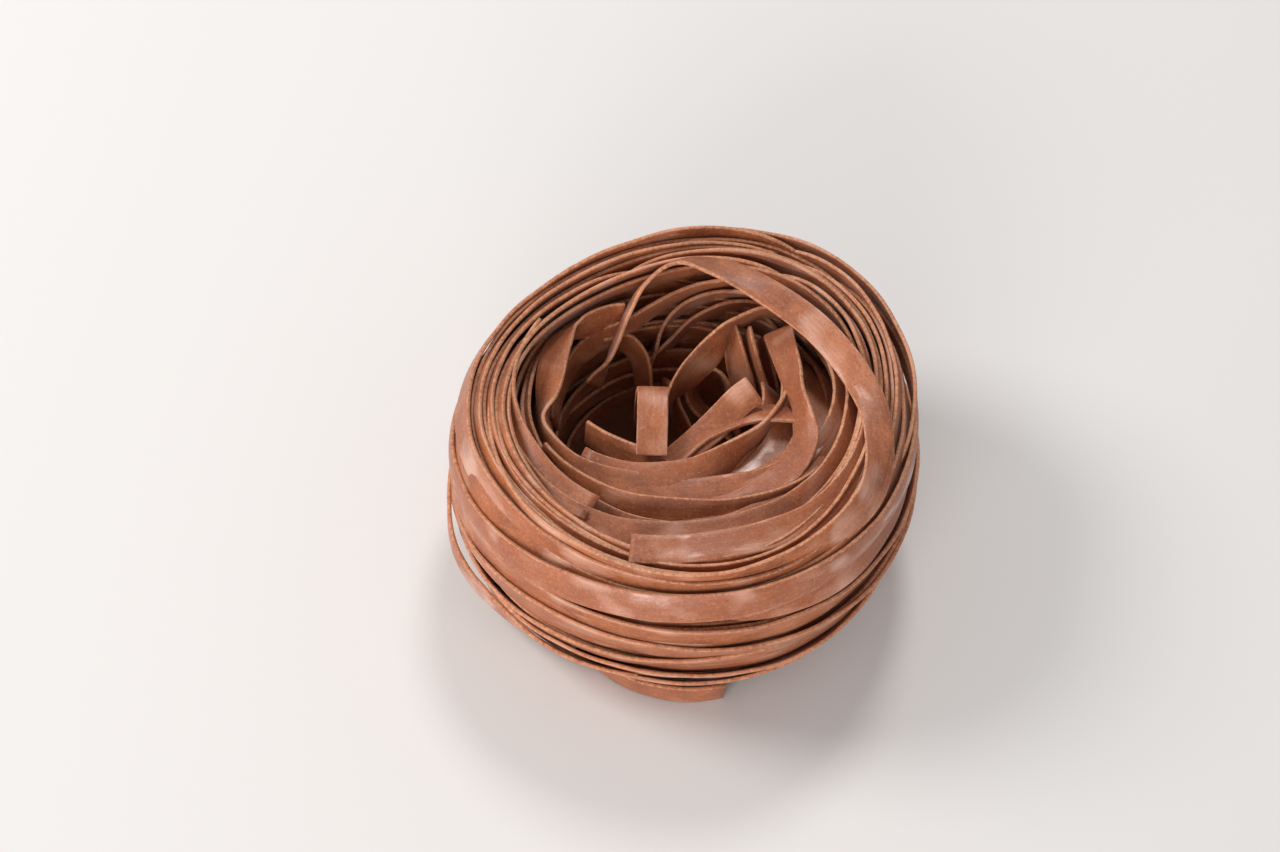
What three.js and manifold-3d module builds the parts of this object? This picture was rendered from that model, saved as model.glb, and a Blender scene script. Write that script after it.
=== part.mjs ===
import * as THREE from "three";
import { mergeVertices } from "three/addons/utils/BufferGeometryUtils.js";
import Module from "manifold-3d";

// A dry nest of flat brown ribbon pasta, wound into a ring round an open hollow.
// Millimetres and degrees, +Z up, origin in the middle of the flat base. Angles run
// anticlockwise seen from above: 0 is right, 90 back, 180 left and 270 front. Where a
// constant holds four values, they are its right, back, left and front values.

// the ribbon
const RIBBON_WIDTH = 4.5;
const RIBBON_THICKNESS = 0.75;
const STEPS_A_TURN = 24;

// the outside of the nest
const FOOT_RADIUS = 27.5;
const BULGE_RADIUS = [34.6, 34.6, 34, 33.9];
const BULGE_HEIGHT = 17;
const BULGE_SKEW = 1.2;
const BULGE_LOBE = 0.55;
const RIDGE_RADIUS = [31.5, 34.2, 31.9, 30.4];
const RIDGE_HEIGHT = 31;
const RIDGE_SKEW = 1.2;
const RIDGE_LOBE = 1.0;
const WALL_ROUNDING = 2.2;

// the rim's nested turns
const RIM_HEIGHT = [28.6, 29.4, 28.8, 28.2];
const RIM_RISE = [0.5, -0.5, 0.4, 0.2];
const RIM_LEAN = [20, 6, 22, 0];
const RIM_SPACING = [1.45, 1.45, 1.65, 1.1];

// the funnel inside the rim, from its mouth to the lip of the hollow
const MOUTH_RADIUS = [26.5, 29.2, 26.8, 26.6];
const MOUTH_HEIGHT = [29.2, 26, 28.4, 28];
const MOUTH_LEAN = [56, 14, 14, 58];
const MOUTH_SKEW = 0.9;
const LIP_RADIUS = [17.5, 25, 20.6, 11.6];
const LIP_HEIGHT = [26.6, 17, 22.8, 24.4];
const LIP_LEAN = [96, 8, 28, 84];

// the hollow below the lip
const PIT_RADIUS = [16.5, 24, 20, 12.5];
const PIT_TOP = 22;
const PIT_FLOOR = 6;
const PIT_TAPER = 4;

// each proud turn's height, how far it lies in from the wall and how far it tilts from it
const PROUD_TURNS = [
  [[3.6, 4.6, 3.2, 4.7], 0.5, [0, 0, 0, -6]],
  [[7.8, 9.4, 6.4, 9.5], 0.6, [-12, 0, -2, -16]],
  [[13.8, 13.2, 9.6, 13.6], 1.1, [-12, 4, 6, -20]],
  [[13.6, 17.4, 14.4, 17.5], 0.5, [-18, -6, 0, -18]],
  [[18.2, 21.8, 19.2, 21.2], 0.7, [-20, -4, 4, -20]],
  [[25.2, 26, 22.6, 26.8], 0.2, [-8, 6, 2, -4]],
];

// the turns that are wound by rule; a lapped turn's ends pass each other at the back
const LAPPED_SWEEP = 375;
const BACK_START = 50;
const BACK_STARTS = 90;
const RIM_TURNS = 4;
const RIM_INSET = 0.4;
const RIM_LEAN_EACH = 3;
const INNER_TURNS = 3;
const INNER_FIRST = 0.05;
const INNER_SPACING = 0.42;
const PIT_TURNS = 3;
const PIT_FIRST = 18;
const PIT_SPACING = 4.4;
const PIT_INSET = 0.1;
const PIT_LEAN = -4;
const PACKING = 0.3;

// how far a turn's ends tuck away outwards and upwards, and over which angle
const INWARD_TUCK = [-1.8, 0];
const OUTWARD_TUCK = [1.6, 0];
const DOWNWARD_TUCK = [0, -4.5];
const END_TUCK_ANGLE = 9;
const LOWEST_MIDDLE = 1.2;

// how far a turn reaches into the packed core, and how far the core lies behind the turns
const WALL_ROOT = 1.3;
const EDGE_ROOT = 1.1;
const FLAT_ROOT = 1.0;
const CORE_SIDES = 24;
const CORE_HEIGHTS = [4, 9, 15, 19.5, 25];
const CORE_BEHIND_WALL = 1.35;
const CORE_UNDER_RIM = 1.4;
const CORE_RIM_EDGE = 1.5;
const CORE_RIM_WIDTH = 4.6;
const CORE_RIM_DIP = 0.4;
const CORE_UNDER_FLAT = 0.4;
const CORE_UNDER_UPRIGHT = 1.4;
const CORE_BEHIND_PIT = 0.3;
const UNDER_LIP = 3.5;

// what is cleaned off the joined solid, in millimetres
const SLIVER = 0.04;

const SEED = 2024;
const TURN = 2 * Math.PI;
const DEGREE = Math.PI / 180;

let drawState = SEED;

// The next of a fixed row of even draws between 0 and 1.
function draw() {
  drawState = (drawState * 48271) % 2147483647;
  return drawState / 2147483647;
}

// A smooth value round the nest through its right, back, left and front values.
function around([right, back, left, front], angle) {
  return (right + back + left + front) / 4
    + ((right - left) / 2) * Math.cos(angle)
    + ((back - front) / 2) * Math.sin(angle)
    + ((right + left - back - front) / 4) * Math.cos(2 * angle);
}

// The same with the nest's skew to the back right and its three slight corners.
function uneven(values, skew, lobe, angle) {
  return around(values, angle) + skew * Math.sin(2 * angle) + lobe * Math.cos(3 * angle - Math.PI);
}

function ridgeRadius(angle) {
  return uneven(RIDGE_RADIUS, RIDGE_SKEW, RIDGE_LOBE, angle);
}

function wallRadius(angle, height) {
  const bulge = uneven(BULGE_RADIUS, BULGE_SKEW, BULGE_LOBE, angle);
  if (height > BULGE_HEIGHT) {
    const up = (height - BULGE_HEIGHT) / (RIDGE_HEIGHT - BULGE_HEIGHT);
    return bulge - (bulge - ridgeRadius(angle)) * up ** WALL_ROUNDING;
  }
  const down = (BULGE_HEIGHT - Math.max(height, 0)) / BULGE_HEIGHT;
  return bulge - (bulge - FOOT_RADIUS) * down ** WALL_ROUNDING;
}

// How far the wall leans in at a height.
function wallLean(angle, height) {
  const inward = wallRadius(angle, height - 1) - wallRadius(angle, height + 1);
  return Math.atan2(inward, 2) / DEGREE;
}

// Radius, height and lean at a share of the way from the funnel's mouth to the lip.
function funnel(angle, share) {
  const blend = (mouth, lip) => around(mouth, angle) * (1 - share) + around(lip, angle) * share;
  return [
    blend(MOUTH_RADIUS, LIP_RADIUS) + (1 - share) * MOUTH_SKEW * Math.sin(2 * angle),
    blend(MOUTH_HEIGHT, LIP_HEIGHT),
    blend(MOUTH_LEAN, LIP_LEAN),
  ];
}

function pitRadius(angle, height) {
  const down = (PIT_TOP - height) / (PIT_TOP - PIT_FLOOR);
  return around(PIT_RADIUS, angle) - PIT_TAPER * down * down;
}

// A small unevenness round the nest: four waves of drawn size and place.
function unevenness(size) {
  const waves = [1, 2, 3, 4].map((count) => {
    const height = (size * (2 * draw() - 1)) / count ** 0.8;
    return { count, height, shift: TURN * draw() };
  });
  return (angle) => waves.reduce(
    (sum, wave) => sum + wave.height * Math.cos(wave.count * angle + wave.shift),
    0,
  );
}

// A place on a strand. The lean turns its width from upright towards the nest's axis.
function polarStation(degrees, radius, height, lean) {
  const angle = degrees * DEGREE;
  const tip = lean * DEGREE;
  const inward = new THREE.Vector3(-Math.cos(angle), -Math.sin(angle), 0);
  return {
    middle: new THREE.Vector3(radius * Math.cos(angle), radius * Math.sin(angle), height),
    width: inward.multiplyScalar(Math.sin(tip)).setZ(Math.cos(tip)),
  };
}

// The row of a smooth curve through the given rows, at a share of its length.
function smoothRow(rows, share) {
  const spans = rows.length - 1;
  const index = Math.min(Math.floor(share * spans), spans - 1);
  const t = share * spans - index;
  return rows[0].map((unused, column) => {
    const at = (row) => {
      if (row < 0) return 2 * rows[0][column] - rows[1][column];
      if (row > spans) return 2 * rows[spans][column] - rows[spans - 1][column];
      return rows[row][column];
    };
    const [a, b, c, d] = [at(index - 1), at(index), at(index + 1), at(index + 2)];
    return 0.5 * (2 * b + (c - a) * t + (2 * a - 5 * b + 4 * c - d) * t ** 2
      + (3 * b - a - 3 * c + d) * t ** 3);
  });
}

// The strand through its stations: a straight flat blank, bent so that its width and
// its face follow them. A root makes it deeper behind its face or below its lower edge,
// where it runs into the core.
function ribbon(stations, faceRoot = 0, edgeRoot = 0) {
  const steps = stations.length - 1;
  const frames = stations.map(({ middle, width }, index) => {
    const before = stations[Math.max(index - 1, 0)].middle;
    const after = stations[Math.min(index + 1, steps)].middle;
    const along = after.clone().sub(before).normalize();
    const across = width.clone().addScaledVector(along, -width.dot(along)).normalize();
    return { middle, across, face: along.clone().cross(across) };
  });
  const blank = new THREE.BoxGeometry(1, RIBBON_WIDTH + edgeRoot, RIBBON_THICKNESS + faceRoot, steps, 1, 1);
  blank.translate(0, -edgeRoot / 2, -faceRoot / 2);
  const position = blank.getAttribute("position");
  const point = new THREE.Vector3();
  for (let index = 0; index < position.count; index += 1) {
    const frame = frames[Math.round((position.getX(index) + 0.5) * steps)];
    point.copy(frame.middle)
      .addScaledVector(frame.across, position.getY(index))
      .addScaledVector(frame.face, position.getZ(index));
    position.setXYZ(index, point.x, point.y, point.z);
  }
  return blank;
}

const strands = [];
const packing = unevenness(PACKING);

// A strand wound round the nest. The route gives radius, height and lean at an angle, and
// both ends tuck away behind the neighbouring turns.
function wind(route, shape) {
  const { start, sweep, tuck, climb = 0, heightSway, leanSway, looseness, faceRoot, edgeRoot } = shape;
  const heights = unevenness(heightSway);
  const leans = unevenness(leanSway);
  const loose = looseness ? unevenness(looseness) : () => 0;
  const pitch = 360 / STEPS_A_TURN;
  const first = Math.round(start / pitch);
  const steps = Math.round(sweep / pitch);
  const stations = [];
  for (let step = 0; step <= steps; step += 1) {
    const share = step / steps;
    const degrees = (first + step) * pitch;
    const angle = degrees * DEGREE;
    const [radius, height, lean] = route(angle);
    const nearEnd = Math.exp((-share * sweep) / END_TUCK_ANGLE)
      + Math.exp(((share - 1) * sweep) / END_TUCK_ANGLE);
    const rise = heights(angle) + climb * (share - 0.5) + tuck[1] * nearEnd;
    stations.push(polarStation(
      degrees,
      radius + packing(angle) + loose(angle) + tuck[0] * nearEnd,
      Math.max(height + rise, LOWEST_MIDDLE),
      lean + leans(angle),
    ));
  }
  strands.push(ribbon(stations, faceRoot, edgeRoot));
}

// A strand laid round the axis, through rows of angle, radius, height and lean.
function lay(rows, steps, faceRoot = 0) {
  const stations = [];
  for (let step = 0; step <= steps; step += 1) {
    stations.push(polarStation(...smoothRow(rows, step / steps)));
  }
  strands.push(ribbon(stations, faceRoot));
}

// A strand across the hollow, through rows of x, y, z and the compass and rise of its width.
function cross(rows, steps) {
  const turned = rows.map(([x, y, z, compass, rise]) => {
    const level = Math.cos(rise * DEGREE);
    const width = [level * Math.cos(compass * DEGREE), level * Math.sin(compass * DEGREE)];
    return [x, y, z, ...width, Math.sin(rise * DEGREE)];
  });
  const stations = [];
  for (let step = 0; step <= steps; step += 1) {
    const [x, y, z, ...width] = smoothRow(turned, step / steps);
    stations.push({ middle: new THREE.Vector3(x, y, z), width: new THREE.Vector3(...width) });
  }
  strands.push(ribbon(stations));
}

// the proud turns of the outer wall
for (const [heights, inset, tilt] of PROUD_TURNS) {
  wind((angle) => {
    const height = around(heights, angle);
    const lean = wallLean(angle, height) + around(tilt, angle);
    return [wallRadius(angle, height) - inset, height, lean];
  }, {
    start: BACK_START + BACK_STARTS * draw(),
    sweep: LAPPED_SWEEP,
    tuck: INWARD_TUCK,
    climb: 3 * (draw() - 0.5),
    heightSway: 0.6,
    leanSway: 8,
    looseness: 0.4,
    faceRoot: WALL_ROOT,
  });
}

// the rim's turns, nested on edge
for (let index = 0; index < RIM_TURNS; index += 1) {
  wind((angle) => [
    ridgeRadius(angle) - RIM_INSET - around(RIM_SPACING, angle) * index,
    around(RIM_HEIGHT, angle) + around(RIM_RISE, angle) * index,
    around(RIM_LEAN, angle) + RIM_LEAN_EACH * index,
  ], {
    start: BACK_START + BACK_STARTS * draw(),
    sweep: LAPPED_SWEEP,
    tuck: DOWNWARD_TUCK,
    heightSway: 0.4,
    leanSway: 4,
    edgeRoot: EDGE_ROOT,
  });
}

// the turns of the funnel, on edge at the back and laid over at the front
for (let index = 0; index < INNER_TURNS; index += 1) {
  wind((angle) => funnel(angle, INNER_FIRST + INNER_SPACING * index), {
    start: BACK_START + BACK_STARTS * draw(),
    sweep: 300 + 50 * draw(),
    tuck: DOWNWARD_TUCK,
    climb: 2 * (draw() - 0.5),
    heightSway: 0.6,
    leanSway: 7,
    edgeRoot: EDGE_ROOT,
  });
}

// the looser turns down the hollow's wall
for (let index = 0; index < PIT_TURNS; index += 1) {
  const height = PIT_FIRST - PIT_SPACING * index;
  wind((angle) => [pitRadius(angle, height) - PIT_INSET, height, PIT_LEAN], {
    start: 360 * draw(),
    sweep: 200 + 120 * draw(),
    tuck: OUTWARD_TUCK,
    climb: 6 * (draw() - 0.5),
    heightSway: 1.2,
    leanSway: 12,
    looseness: 0.6,
  });
}

// the arch that stands over the hollow and runs on as the front ridge
lay([
  [140, 19.5, 18, -6], [132, 19.9, 20.2, 14], [126, 20.9, 22.6, 26], [118, 22.7, 26.8, 28],
  [110, 24.6, 30, 30], [98, 26.6, 32, 44], [84, 25.4, 32.6, 76], [63, 23.4, 32.7, 102],
  [42, 23.3, 32.6, 111], [20, 24.6, 32.3, 105], [-2, 27.1, 31.8, 80], [-22, 29, 31.1, 54],
  [-36, 29.3, 31, 32], [-48, 29.1, 30.4, 16], [-60, 28.9, 30, 6], [-75, 29, 29.6, -2],
  [-95, 29.2, 29.3, -5], [-118, 29, 29.1, -4], [-140, 29.6, 29.1, 4], [-165, 29.8, 29, 18],
  [-190, 29.6, 28.8, 24],
], 22);
// the folded strand of the left side and the front lip
lay([
  [119, 23.6, 25.5, -3], [127, 23.9, 26, -12], [136, 24, 26.5, -7], [142, 24.7, 27.2, 36],
  [150, 23.6, 27.6, 66], [162, 22, 27.4, 70], [174, 21.1, 27.2, 44], [186, 21.4, 26.9, 4],
  [196, 20.6, 26.6, 20], [208, 19, 26.3, 50], [222, 16, 26.1, 68], [240, 13, 26.2, 76],
  [266, 11.6, 26.3, 80], [298, 12, 26.4, 80], [322, 14.6, 26.7, 74], [350, 19.4, 27.4, 61],
  [378, 23.2, 27.8, 44], [410, 25, 27.4, 26],
], 26);
// the tab bent out over the front lip
cross([
  [-6.2, 8.5, 14, 0, 0], [-6.1, 7.2, 24, 0, 3], [-5.8, 4.8, 28.2, -4, 8], [-5.4, 0.3, 28.7, -3, 6],
  [-5.2, -3.9, 27.6, 1, 3], [-5.1, -6, 26.8, 4, 2],
], 9);
// the strand that crosses the back right of the hollow
cross([
  [-4.4, 10.4, 12, -95, 62], [-3.3, 11.6, 17, -105, 60], [-0.6, 13.8, 21, -181, 50],
  [1.6, 15.4, 23.5, -192, 41], [3.1, 17.1, 25, -176, 60], [5.4, 19.8, 26.2, -124, 65],
  [9.9, 22.4, 27, -101, 70], [14.4, 21.4, 26.9, -110, 68], [19, 17, 26.6, -140, 66],
  [21.6, 11, 26.2, -165, 64],
], 10);
// the strand that falls from the back right and swings round the front
cross([
  [11.9, 19.4, 26.3, -4, 30], [12.7, 15.6, 27.8, -14, 38], [14.2, 9.8, 28.8, -28, 46],
  [15.4, 5.2, 29.2, -50, 54], [16.3, 1.4, 29.2, -40, 42], [16.8, -2, 28.9, -36, 26],
  [15.4, -6.2, 28.5, -40, 10], [12.4, -10, 27.9, -48, 2], [8, -13.6, 27.1, -60, 2],
  [1.5, -15.8, 26.2, -84, 0], [-6, -16, 25.2, -105, 0], [-14, -13.4, 23.6, -130, 0],
], 13);
// the strand that makes the hollow's rim at the front, on edge at the right
lay([
  [60, 22, 23.2, 4], [46, 19.6, 23.8, 4], [33, 16.6, 24.8, 2], [21, 13.8, 25.8, -2],
  [7, 11.4, 26.6, -2], [-18, 8.6, 27.1, 8], [-48, 7.8, 27.1, 36], [-78, 8.4, 27, 64],
  [-108, 10, 26.7, 76], [-134, 13.2, 26.2, 72], [-155, 17, 25.6, 60],
], 11);
// the strands that lie under it at the right
lay([
  [50, 20.6, 24.4, 40], [24, 16.4, 25.3, 68], [0, 13.6, 25.2, 84], [-24, 11.8, 25, 90],
  [-50, 11.1, 24.9, 88], [-80, 11.6, 24.8, 84], [-105, 12.6, 24.6, 80],
], 8);
lay([
  [46, 16.6, 21.4, 40], [20, 12.6, 22.8, 64], [-6, 10, 23.8, 80], [-34, 8.6, 24.1, 86],
  [-64, 8.7, 24.1, 84], [-96, 10, 24, 78],
], 7);
// the cut tip that points to the back right
cross([
  [-3.5, -6.5, 23.6, 132, 4], [1.7, -1.5, 25.9, 134, 8], [4.6, 1.5, 27.2, 140, 16],
  [7, 4.3, 28.3, 143, 18], [9, 6, 28.9, 146, 18],
], 5);
// the strand under the tip
cross([
  [-3, -5.5, 23.8, 106, -24], [1.6, -0.8, 25.6, 103, -18], [4.6, 1.2, 26.3, 98, -18],
  [8, 2.7, 26.8, 88, -18], [12, 3.4, 27, 84, -22], [18, 3.6, 26.6, 70, -30],
], 7);
// the cut end beside the tab
lay([
  [184, 14.9, 24.6, 12], [192, 13, 24.8, 14], [206, 10.4, 24.9, 24], [228, 8.4, 24.9, 44],
  [262, 8.4, 24, 70],
], 6);
// the turn with its cut end at the front left
lay([
  [150, 27, 29.6, 8], [172, 26.9, 29.7, 18], [192, 25.8, 29.7, 42], [212, 24.2, 29.6, 72],
  [235, 22.1, 29.5, 92],
], 9);
// the turn with its cut end at the front
lay([
  [255, 26.2, 31, 84], [268, 24.9, 31, 84], [284, 24, 31, 84], [301, 24.4, 31, 80],
  [319, 25.4, 30.9, 70], [340, 25.9, 30.7, 52], [360, 26.2, 30.1, 38], [378, 26.6, 28.3, 24],
  [394, 26.8, 26, 14],
], 10, FLAT_ROOT);
// the turn behind it
lay([
  [200, 26.6, 28, 30], [220, 25.6, 28.5, 54], [242, 23.6, 28.8, 70], [262, 21.6, 28.9, 76],
  [286, 20.6, 28.9, 76], [312, 21.2, 29, 65], [340, 22.4, 29, 48], [366, 23.8, 28.5, 34],
  [386, 25.2, 26.8, 22], [400, 26, 24.6, 14],
], 12, FLAT_ROOT);
// the turn on edge between the lip and the front band
lay([
  [200, 22.4, 27.2, 26], [232, 18.3, 26.9, 35], [266, 15.8, 26.8, 39], [300, 16.8, 27, 36],
  [338, 21.2, 27.4, 28],
], 9);
// the curl on the left of the hollow
cross([
  [-14.4, 18.2, 20.4, -6, 66], [-11, 20, 19.8, -8, 64], [-8.6, 18.7, 18, -21, 59],
  [-7.7, 17, 15.4, -33, 58], [-7.4, 15.4, 12, -48, 56], [-7.6, 13.4, 7, -60, 56],
], 6);
// the strand that sweeps up the back of the hollow
lay([
  [110, 21.4, 12, 30], [106, 22.8, 16, 28], [102, 24.2, 19.6, 22], [95, 25.6, 22.5, 20],
  [84, 27, 24.2, 22], [68, 27.8, 25, 24],
], 7);
// the strand along the back left
lay([
  [168, 20.4, 18.6, -10], [143, 23.2, 20.2, -12], [131, 23.4, 21.5, -9], [117, 23, 23, 3],
  [98, 25.6, 25, 15], [80, 28.2, 26.2, 20],
], 8);
// the strand along the back right
lay([
  [108, 21.8, 14.5, 22], [99, 23.2, 17.2, 20], [90, 25, 20.2, 14], [78, 26.6, 23, 17],
  [60, 27, 24.8, 20],
], 6);
// the strands that hang at the right of the hollow
cross([
  [4.6, 20.2, 24.6, -36, 62], [5.6, 17.2, 24, -23, 56], [6.5, 15.2, 22, -19, 50],
  [7.5, 14.2, 19, -24, 51], [8.4, 13.2, 13, -31, 52],
], 5);
cross([
  [7.3, 19.4, 25, -62, 48], [8.4, 16.4, 24.2, -64, 47], [9.5, 14.5, 22, -62, 43],
  [10.8, 13.1, 19.4, -61, 43], [12.4, 11.8, 14, -59, 47],
], 5);
cross([
  [9.6, 20.4, 23, -66, 44], [10.6, 18.2, 21.4, -66, 44], [11.6, 16, 19, -64, 43],
  [12.8, 13.6, 15, -60, 46], [14, 11, 10, -58, 48],
], 5);
// the small curl low in the hollow
cross([
  [7, 12, 9, -60, 46], [5.7, 15.2, 15.2, -68, 46], [4.7, 16.4, 17, -75, 50], [3.1, 17, 17.9, -98, 64],
  [0.9, 16.8, 17.2, -120, 58], [-0.1, 15.6, 14.6, -120, 41], [1.1, 14, 12.8, -112, 31],
  [4, 12.6, 11.4, -98, 32], [8, 11, 8, -90, 36],
], 10);
// the strand deep under the crossing one
cross([
  [-3.6, 15.4, 17, -56, 38], [-2.8, 13.8, 14.6, -52, 37], [-1.6, 12.2, 12.3, -45, 38],
  [0.4, 9.6, 9, -43, 42],
], 4);
// the stray end at the foot
lay([
  [232, 26.6, 3, -24], [248, 28.6, 2.5, -24], [260, 30.1, 2.35, -24], [273, 30.8, 2.35, -24],
  [286, 30.7, 2.35, -24],
], 6);
// the slack turns that stand off the wall
lay([
  [262, 31.2, 7, -12], [240, 32.3, 6.6, -10], [223, 33.2, 7, -8], [216, 33.8, 7.3, -6],
  [209, 34.8, 8.2, -4], [202, 35.5, 9.8, -2], [195, 35.4, 12.4, 0], [186, 34.6, 16.5, 2],
  [174, 33.4, 21, 6],
], 10);
lay([
  [100, 33.2, 28.8, 6], [80, 35.7, 28.6, 6], [60, 37.1, 28.4, 8], [40, 36.2, 28.2, 10],
  [20, 34.3, 27.4, 6], [2, 32.2, 26.2, 6], [-14, 30.4, 25, 8],
], 8);

// The packed core under the turns that show, hollowed like the nest.
function coreGeometry() {
  const underFunnel = (share) => (angle) => {
    const [radius, height, lean] = funnel(angle, share);
    return [radius, height - CORE_UNDER_FLAT - CORE_UNDER_UPRIGHT * Math.cos(lean * DEGREE)];
  };
  const pitWall = (share) => (angle) => {
    const height = (around(LIP_HEIGHT, angle) - UNDER_LIP) * (1 - share) + PIT_FLOOR * share;
    return [pitRadius(angle, height) + CORE_BEHIND_PIT, height];
  };
  const rings = [
    () => [0, 0],
    (angle) => [wallRadius(angle, 0) - CORE_BEHIND_WALL, 0],
    ...CORE_HEIGHTS.map((height) => (angle) => [
      wallRadius(angle, height) - CORE_BEHIND_WALL,
      height,
    ]),
    (angle) => [ridgeRadius(angle) - CORE_RIM_EDGE, around(RIM_HEIGHT, angle) - CORE_UNDER_RIM],
    (angle) => [
      ridgeRadius(angle) - CORE_RIM_WIDTH,
      around(RIM_HEIGHT, angle) + 3 * around(RIM_RISE, angle) - CORE_UNDER_RIM - CORE_RIM_DIP,
    ],
    ...[0.2, 0.6, 0.94].map(underFunnel),
    ...[0, 0.5, 1].map(pitWall),
    () => [0, PIT_FLOOR],
  ];
  const profile = rings.map((ring, index) => new THREE.Vector2(...ring(0)).setY(index));
  const core = new THREE.LatheGeometry(profile, CORE_SIDES);
  const position = core.getAttribute("position");
  for (let index = 0; index < position.count; index += 1) {
    const angle = (TURN * Math.floor(index / rings.length)) / CORE_SIDES;
    const [radius, height] = rings[index % rings.length](angle);
    position.setXYZ(index, radius * Math.cos(angle), radius * Math.sin(angle), height);
  }
  return core;
}

const wasm = await Module();
wasm.setup();

function toSolid(geometry) {
  const bare = geometry.clone();
  bare.deleteAttribute("normal");
  bare.deleteAttribute("uv");
  const merged = mergeVertices(bare, 1e-4);
  return new wasm.Manifold(new wasm.Mesh({
    numProp: 3,
    vertProperties: new Float32Array(merged.getAttribute("position").array),
    triVerts: new Uint32Array(merged.getIndex().array),
  }));
}

function toGeometry(solid) {
  const { vertProperties, triVerts } = solid.getMesh();
  const geometry = new THREE.BufferGeometry();
  geometry.setAttribute("position", new THREE.BufferAttribute(new Float32Array(vertProperties), 3));
  geometry.setIndex(new THREE.BufferAttribute(new Uint32Array(triVerts), 1));
  geometry.computeVertexNormals();
  return geometry;
}

// The largest whole piece of a solid, without loose scraps and sealed hollows.
function largestPart(solid) {
  return solid.decompose().sort((one, other) => other.volume() - one.volume())[0];
}

let joined = toSolid(coreGeometry());
for (const strand of strands) joined = joined.add(toSolid(strand));
const joinedOnce = largestPart(joined.asOriginal().simplify(SLIVER));
const wholeNest = largestPart(toSolid(toGeometry(joinedOnce)));

const pasta = new THREE.MeshStandardMaterial({ color: 0xa5674a, roughness: 0.5, metalness: 0 });
const nest = new THREE.Mesh(toGeometry(wholeNest), pasta);
nest.name = "nest";
const group = new THREE.Group();
group.add(nest);
export default group;
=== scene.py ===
import math

import bmesh
import bpy
from mathutils import Matrix, Vector


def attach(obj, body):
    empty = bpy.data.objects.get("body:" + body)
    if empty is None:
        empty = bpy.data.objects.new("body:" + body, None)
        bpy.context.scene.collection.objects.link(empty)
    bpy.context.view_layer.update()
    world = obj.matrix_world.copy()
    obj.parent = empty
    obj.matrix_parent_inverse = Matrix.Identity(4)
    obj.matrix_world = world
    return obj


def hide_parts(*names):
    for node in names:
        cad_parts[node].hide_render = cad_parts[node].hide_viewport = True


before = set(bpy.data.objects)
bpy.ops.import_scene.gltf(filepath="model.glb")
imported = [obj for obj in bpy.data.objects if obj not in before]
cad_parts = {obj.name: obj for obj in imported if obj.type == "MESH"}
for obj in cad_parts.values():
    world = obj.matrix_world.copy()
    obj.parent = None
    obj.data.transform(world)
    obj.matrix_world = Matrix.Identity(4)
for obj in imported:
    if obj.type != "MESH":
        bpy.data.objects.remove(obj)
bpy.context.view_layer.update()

# A dry nest of flat wholegrain ribbon pasta round an open hollow. Separate ribbons over a
# packed core take the solid's place: its own strands in finer steps, and more behind them.
# Sizes are in millimetres and degrees until a mesh is stored in metres, +Z up. Angles run
# anticlockwise seen from above: 0 is right, 90 back, 180 left and 270 front. Where a
# constant holds four values, they are its right, back, left and front values.

MM = 0.001
WHOLE_TURN = 360

# the ribbon, and how far its faces cup, its middle wavers and its width twists along it,
# the twist in radians
RIBBON_WIDTH = 4.5
RIBBON_THICKNESS = 0.6
EDGE_ROUNDING = 0.17
EDGE_SEGMENTS = 2
LENGTHWISE_CUTS = (-0.3, 0, 0.3)
RIBBON_CUP = 0.12
RIBBON_WAVER = 0.28
RIBBON_TWIST = 0.16
# the counts of the waves in one turn of the wave radius; sideways the waver runs faster,
# and starts elsewhere
WAVER_COUNTS = (7, 11, 16, 23)
TWIST_COUNTS = (6, 10, 15, 24)
WAVE_RADIUS = 34
SIDE_WAVE_RADIUS = 30
SIDE_WAVE_START = 2
# a turn's waves of height, lean and looseness, which fade as their count grows
SWAY_COUNTS = (1, 2, 3, 4)
WAVE_FADING = 0.8

# the steps along a strand; a wound strand starts and ends on the solid's own steps
DEGREES_A_STEP = 2
LENGTH_A_STEP = 1.2
MEASURING_STEPS = 40
SOLID_PITCH = 15

# the outside of the nest
FOOT_RADIUS = 27.5
BULGE_RADIUS = [34.6, 34.6, 34.0, 33.9]
BULGE_HEIGHT = 17
BULGE_SKEW = 1.2
BULGE_LOBE = 0.55
RIDGE_RADIUS = [31.5, 34.2, 31.9, 30.4]
RIDGE_HEIGHT = 31
RIDGE_SKEW = 1.2
RIDGE_LOBE = 1.0
WALL_ROUNDING = 2.2

# the rim's nested turns
RIM_HEIGHT = [28.6, 29.4, 28.8, 28.2]
RIM_RISE = [0.5, -0.5, 0.4, 0.2]
RIM_LEAN = [20, 6, 22, 0]
RIM_SPACING = [1.45, 1.45, 1.65, 1.1]

# the funnel inside the rim, from its mouth to the lip of the hollow
MOUTH_RADIUS = [26.5, 29.2, 26.8, 26.6]
MOUTH_HEIGHT = [29.2, 26, 28.4, 28]
MOUTH_LEAN = [56, 14, 14, 58]
MOUTH_SKEW = 0.9
LIP_RADIUS = [17.5, 25, 20.6, 11.6]
LIP_HEIGHT = [26.6, 17, 22.8, 24.4]
LIP_LEAN = [96, 8, 28, 84]

# the hollow below the lip
PIT_RADIUS = [16.5, 24, 20, 12.5]
PIT_TOP = 22
PIT_FLOOR = 6
PIT_TAPER = 4

# the turns that are wound by rule; a lapped turn's ends pass each other at the back. Starts,
# sweeps and climbs in the plural are the spans that they are drawn from
LAPPED_SWEEP = 375
BACK_START = 50
BACK_STARTS = 90
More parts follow.
